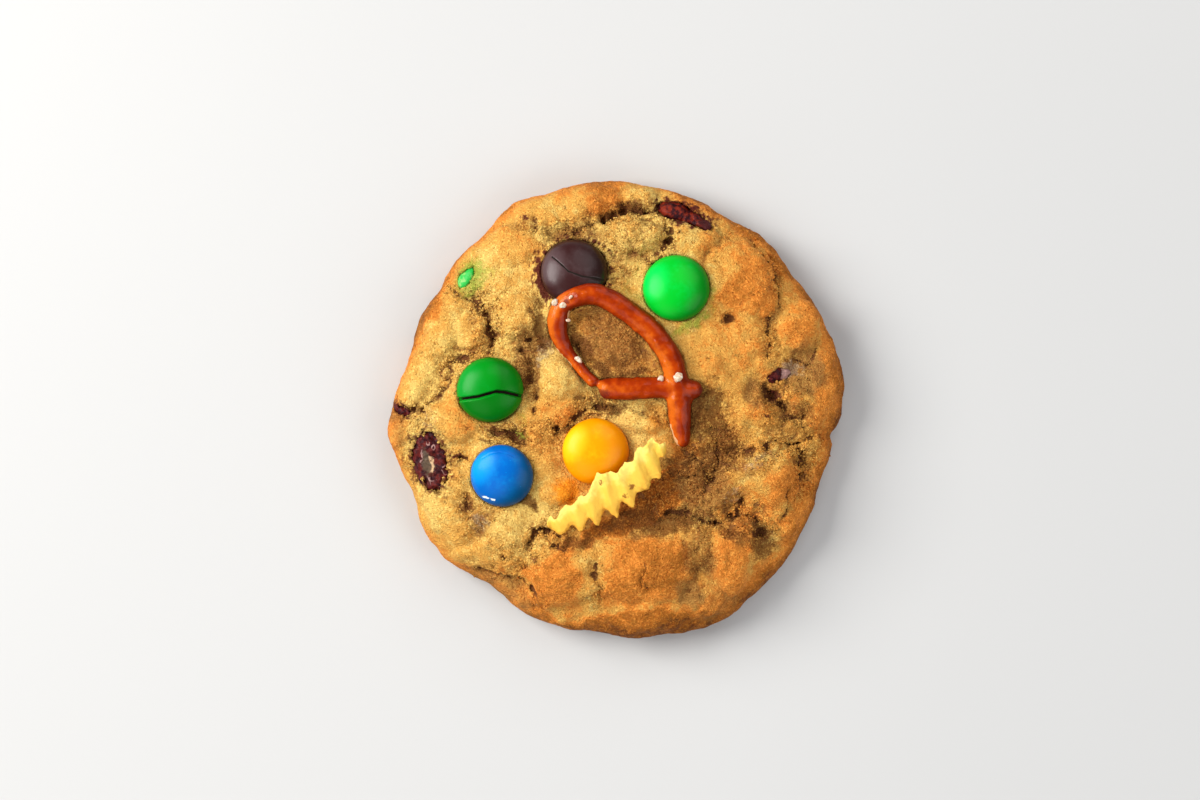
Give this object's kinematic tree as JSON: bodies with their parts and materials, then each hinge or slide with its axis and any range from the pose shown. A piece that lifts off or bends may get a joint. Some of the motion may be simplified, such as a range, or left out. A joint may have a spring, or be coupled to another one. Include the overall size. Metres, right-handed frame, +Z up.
{
  "type": "kitchen sink cookie",
  "caption": "Thick baked cookie with sugar-shelled chocolate drops, a pretzel twist, a ridged potato chip and chocolate chunks set in its top.",
  "frame": {"origin": "centre of the flat base that the cookie rests on", "axes": "+Z up out of the topped face, +X to the right and +Y away from someone looking down on it with the blue drop at the lower left"},
  "size_m": [0.0932, 0.0933, 0.0202],
  "materials": {
    "dough": "baked golden crumb with browned lumps, matte and pitted",
    "brown_shell": "polished sugar shell, dark brown",
    "green_shell": "polished sugar shell, bright green",
    "blue_shell": "polished sugar shell, bright blue",
    "yellow_shell": "polished sugar shell, warm yellow",
    "pretzel": "glossy red-brown pretzel crust with a few salt grains",
    "chip": "pale yellow fried potato, slightly oily",
    "chocolate": "melted and baked dark chocolate, satin"
  },
  "bodies": {
    "root": {"cookie_dough": "dough", "candy_brown": "brown_shell", "candy_green_right": "green_shell", "candy_green_left": "green_shell", "candy_green_sliver": "green_shell", "candy_blue": "blue_shell", "candy_yellow": "yellow_shell", "pretzel": "pretzel", "ridged_chip": "chip", "chocolate_left": "chocolate", "chocolate_top": "chocolate", "chocolate_right": "chocolate", "chocolate_rim": "chocolate"}
  },
  "joints": []
}
